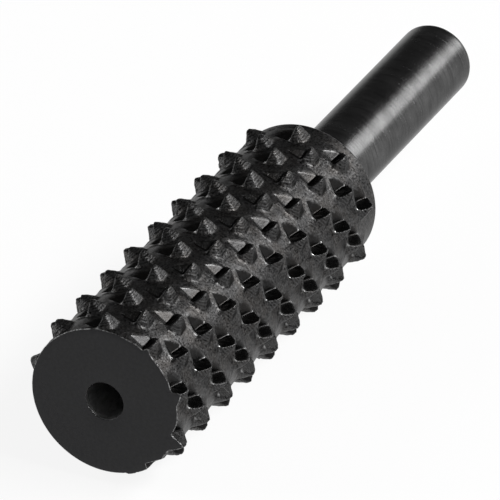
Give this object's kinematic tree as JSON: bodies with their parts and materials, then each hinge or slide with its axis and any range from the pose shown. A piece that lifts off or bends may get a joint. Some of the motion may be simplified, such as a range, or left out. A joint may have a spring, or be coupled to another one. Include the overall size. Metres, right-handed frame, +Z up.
{
  "type": "rotary rasp",
  "caption": "Cylindrical rotary rasp: a steel drum with a helix of punched, raised teeth and a front bore, on a plain round shank for a chuck.",
  "frame": {"origin": "centre of the front face, at the mouth of the front bore", "axes": "+X along the tool's axis towards the shank's tail, +Z up as the tool lies on its teeth"},
  "size_m": [0.06, 0.0136, 0.0136],
  "materials": {
    "head_steel": "black oxide, as punched and hardened",
    "shank_steel": "black oxide over a fine turned surface"
  },
  "bodies": {
    "root": {"rasp_head": "head_steel", "shank": "shank_steel"}
  },
  "joints": []
}
